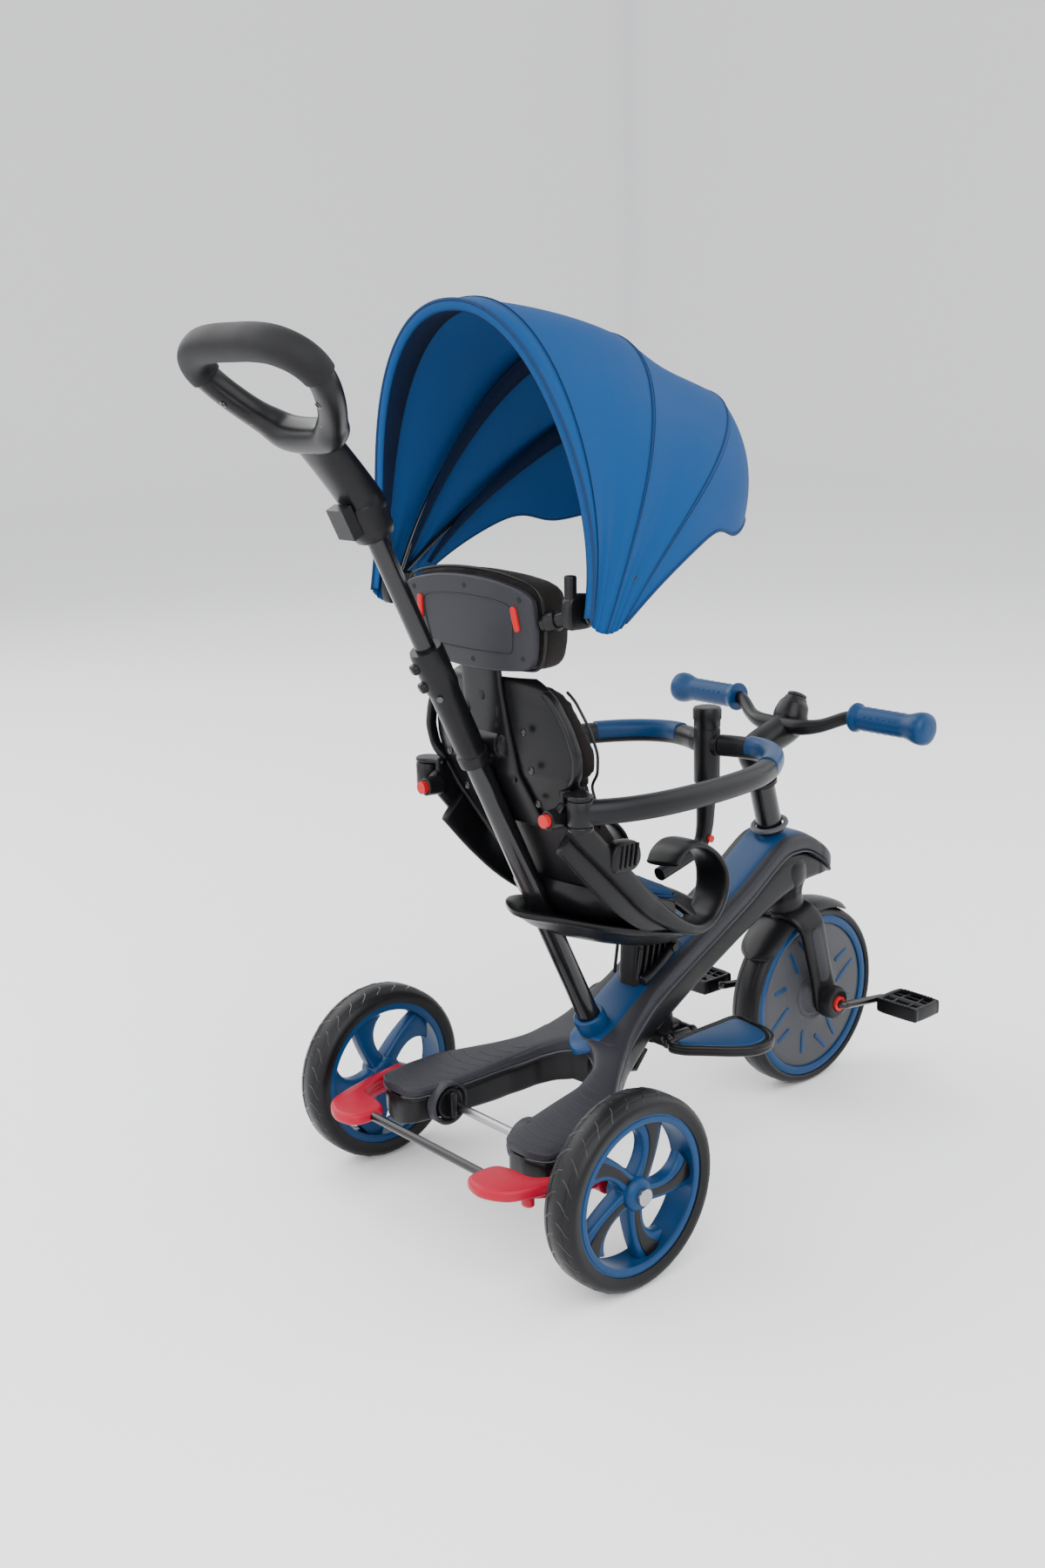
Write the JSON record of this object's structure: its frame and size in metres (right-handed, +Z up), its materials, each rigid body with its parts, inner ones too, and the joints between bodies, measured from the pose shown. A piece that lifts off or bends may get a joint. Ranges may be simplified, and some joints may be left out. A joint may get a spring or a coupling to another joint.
{
  "type": "children's tricycle",
  "caption": "Children's tricycle with a padded seat, folding canopy, guard ring, push pole with loop handle, footrests and a pedalled front wheel.",
  "frame": {"origin": "on the ground under the middle of the overall length, on the centre plane", "axes": "+X forward, +Y to the rider's left, +Z up"},
  "size_m": [0.9425, 0.471, 0.9878],
  "materials": {
    "tyre": "satin black solid rubber",
    "blue_plastic": "moulded, softly glossy",
    "grey_plastic": "moulded, fine grain",
    "black_plastic": "moulded, fine grain",
    "red_plastic": "moulded, glossy",
    "light_plastic": "moulded wheel disc",
    "black_steel": "black powder coat",
    "bare_steel": "drawn",
    "soft_grip": "soft moulded rubber",
    "back_fabric": "padded woven fabric",
    "seat_fabric": "padded woven fabric",
    "canopy_fabric": "coated woven polyester",
    "guard_foam": "covered foam over steel tube, with a blue pad on each front corner"
  },
  "bodies": {
    "frame": {"frame_shell": "grey_plastic", "frame_underside": "black_plastic", "beam_inlay": "blue_plastic", "axle_knobs": "black_plastic", "pole_socket": "grey_plastic", "head_ring": "grey_plastic", "rear_axle": "bare_steel", "seat_tray": "black_plastic", "seat_shell": "black_plastic", "seat_cushion": "seat_fabric", "seat_column": "black_plastic", "harness": "black_plastic", "back_shell": "black_plastic", "back_pad": "back_fabric", "guard_lugs": "black_plastic", "guard_post": "black_plastic", "footrest_bracket": "black_plastic"},
    "steering": {"steerer_tube": "black_steel", "stem": "black_plastic", "handlebar": "black_steel", "grips": "blue_plastic", "fork": "grey_plastic", "fender": "black_plastic", "hub_caps": "black_plastic"},
    "front_wheel": {"tyre_front": "tyre", "wheel_ring_front": "blue_plastic", "wheel_disc_front": "light_plastic"},
    "cranks": {"crank": "black_steel"},
    "left_pedal": {"pedal_left": "black_plastic"},
    "right_pedal": {"pedal_right": "black_plastic"},
    "clutch": {"clutch_button": "red_plastic"},
    "left_wheel": {"tyre_left": "tyre", "rim_left": "blue_plastic"},
    "right_wheel": {"tyre_right": "tyre", "rim_right": "blue_plastic"},
    "brake_pedal": {"brake": "red_plastic"},
    "push_pole": {"pole_lower": "black_steel", "pole_sleeve": "black_plastic"},
    "push_handle": {"pole_upper": "black_steel", "handle_shell": "black_plastic", "handle_grip": "soft_grip"},
    "handle_button": {"handle_latch": "black_plastic"},
    "clamp_lever": {"seat_lever": "black_plastic"},
    "headrest": {"headrest_panel": "grey_plastic", "headrest_pins": "red_plastic", "headrest_pad": "back_fabric", "canopy_mounts": "black_plastic", "canopy_bow_rear": "black_steel", "canopy_panel_rear": "canopy_fabric"},
    "middle_bow": {"canopy_bow_mid": "black_steel", "canopy_panel_front": "canopy_fabric"},
    "front_bow": {"canopy_bow_front": "black_steel", "canopy_visor": "canopy_fabric"},
    "guard_arm_left": {"guard_left": "guard_foam"},
    "guard_arm_right": {"guard_right": "guard_foam"},
    "left_release": {"side_button_left": "red_plastic"},
    "right_release": {"side_button_right": "red_plastic"},
    "post_release": {"post_button": "red_plastic"},
    "left_footrest": {"footrest_left": "blue_plastic"},
    "right_footrest": {"footrest_right": "blue_plastic"}
  },
  "joints": [
    {"name": "steer", "type": "hinge", "parent": "frame", "child": "steering", "pos_m": [0.3523, 0, 0.119], "axis": [-0.284, 0, 0.9588], "range_deg": [-40, 40]},
    {"name": "front_wheel_spin", "type": "hinge", "parent": "steering", "child": "front_wheel", "pos_m": [0.3523, 0, 0.119], "axis": [0, 1, 0], "continuous": true},
    {"name": "crank_spin", "type": "hinge", "parent": "steering", "child": "cranks", "pos_m": [0.3523, 0, 0.119], "axis": [0, 1, 0], "continuous": true},
    {"name": "left_pedal_spin", "type": "hinge", "parent": "cranks", "child": "left_pedal", "pos_m": [0.2783, 0, 0.127], "axis": [0, 1, 0], "continuous": true},
    {"name": "right_pedal_spin", "type": "hinge", "parent": "cranks", "child": "right_pedal", "pos_m": [0.4263, 0, 0.111], "axis": [0, 1, 0], "continuous": true},
    {"name": "clutch_press", "type": "slide", "parent": "steering", "child": "clutch", "axis": [0, 1, 0], "range_m": [0, 0.002], "stiffness_N_per_m": 400, "springref_m": -0.0005},
    {"name": "left_wheel_spin", "type": "hinge", "parent": "frame", "child": "left_wheel", "pos_m": [-0.1777, 0.212, 0.105], "axis": [0, 1, 0], "continuous": true},
    {"name": "right_wheel_spin", "type": "hinge", "parent": "frame", "child": "right_wheel", "pos_m": [-0.1777, -0.212, 0.105], "axis": [0, 1, 0], "continuous": true},
    {"name": "brake_press", "type": "hinge", "parent": "frame", "child": "brake_pedal", "pos_m": [-0.1777, 0, 0.105], "axis": [0, -1, 0], "range_deg": [0, 12]},
    {"name": "pole_turn", "type": "hinge", "parent": "frame", "child": "push_pole", "pos_m": [-0.0282, 0, 0.185], "axis": [-0.4346, 0, 0.9006], "range_deg": [-40, 40]},
    {"name": "pole_telescope", "type": "slide", "parent": "push_pole", "child": "push_handle", "axis": [-0.4346, 0, 0.9006], "range_m": [-0.09, 0]},
    {"name": "handle_latch_squeeze", "type": "slide", "parent": "push_handle", "child": "handle_button", "axis": [0.9006, 0, 0.4346], "range_m": [0, 0.003], "stiffness_N_per_m": 500, "springref_m": -0.0005},
    {"name": "seat_lever_turn", "type": "hinge", "parent": "frame", "child": "clamp_lever", "pos_m": [0.0783, -0.025, 0.257], "axis": [0, 1, 0], "range_deg": [0, 30]},
    {"name": "headrest_raise", "type": "slide", "parent": "frame", "child": "headrest", "axis": [-0.1191, 0, 0.9929], "range_m": [0, 0.045]},
    {"name": "middle_bow_fold", "type": "hinge", "parent": "headrest", "child": "middle_bow", "pos_m": [-0.1657, 0, 0.69], "axis": [0, -1, 0], "range_deg": [0, 28], "deforming": ["canopy_panel_rear", "canopy_panel_front"]},
    {"name": "front_bow_fold", "type": "hinge", "parent": "middle_bow", "child": "front_bow", "pos_m": [-0.1657, 0, 0.69], "axis": [0, -1, 0], "range_deg": [0, 18], "deforming": ["canopy_visor"]},
    {"name": "guard_left_swing", "type": "hinge", "parent": "frame", "child": "guard_arm_left", "pos_m": [-0.1577, 0.124, 0.483], "axis": [0, 0, 1], "range_deg": [0, 75]},
    {"name": "guard_right_swing", "type": "hinge", "parent": "frame", "child": "guard_arm_right", "pos_m": [-0.1577, -0.124, 0.483], "axis": [0, 0, -1], "range_deg": [0, 75]},
    {"name": "left_release_press", "type": "slide", "parent": "frame", "child": "left_release", "axis": [1, 0, 0], "range_m": [0, 0.003], "stiffness_N_per_m": 400, "springref_m": -0.0005},
    {"name": "right_release_press", "type": "slide", "parent": "frame", "child": "right_release", "axis": [1, 0, 0], "range_m": [0, 0.003], "stiffness_N_per_m": 400, "springref_m": -0.0005},
    {"name": "post_release_press", "type": "slide", "parent": "frame", "child": "post_release", "axis": [0, 1, 0], "range_m": [0, 0.002], "stiffness_N_per_m": 300, "springref_m": -0.0005},
    {"name": "left_footrest_fold", "type": "hinge", "parent": "frame", "child": "left_footrest", "pos_m": [0.0723, 0.044, 0.15], "axis": [1, 0, 0], "range_deg": [0, 60]},
    {"name": "right_footrest_fold", "type": "hinge", "parent": "frame", "child": "right_footrest", "pos_m": [0.0723, -0.044, 0.15], "axis": [-1, 0, 0], "range_deg": [0, 60]}
  ],
  "couplings": [
    {"joint": "crank_spin", "follows": "front_wheel_spin", "ratio": 1},
    {"joint": "pole_turn", "follows": "steer", "ratio": 1},
    {"joint": "front_bow_fold", "follows": "middle_bow_fold", "ratio": 0.64286}
  ]
}
